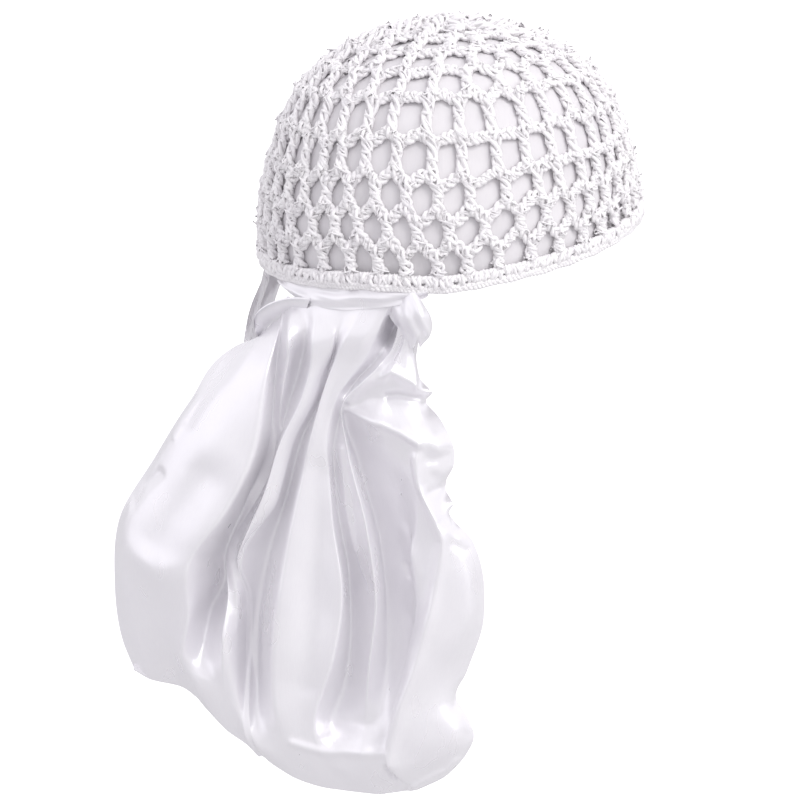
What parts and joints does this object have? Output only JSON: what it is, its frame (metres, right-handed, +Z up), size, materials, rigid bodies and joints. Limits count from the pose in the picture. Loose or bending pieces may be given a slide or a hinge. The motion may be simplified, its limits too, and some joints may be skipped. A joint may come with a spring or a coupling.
{
  "type": "crocheted hair bonnet with satin tail",
  "caption": "Hair bonnet: open crocheted net crown over a satin lining, with a crocheted rim, a gathered satin tail at the nape, a satin tie and a small corner frill.",
  "frame": {"origin": "where the top of the wearer's head touches the inside of the lining, at the middle of the crown", "axes": "+Z up, -Y towards the forehead, +Y towards the nape, -X towards the wearer's right"},
  "size_m": [0.1783, 0.2332, 0.3435],
  "materials": {
    "yarn": "white glossy crochet yarn",
    "satin": "white satin, glossy side out",
    "lining_satin": "white satin lining"
  },
  "bodies": {
    "root": {"crochet_net": "yarn", "rim_band": "yarn", "lining": "lining_satin", "tail_band": "satin", "tail": "satin", "corner_frill": "satin", "left_tie": "satin"}
  },
  "joints": []
}
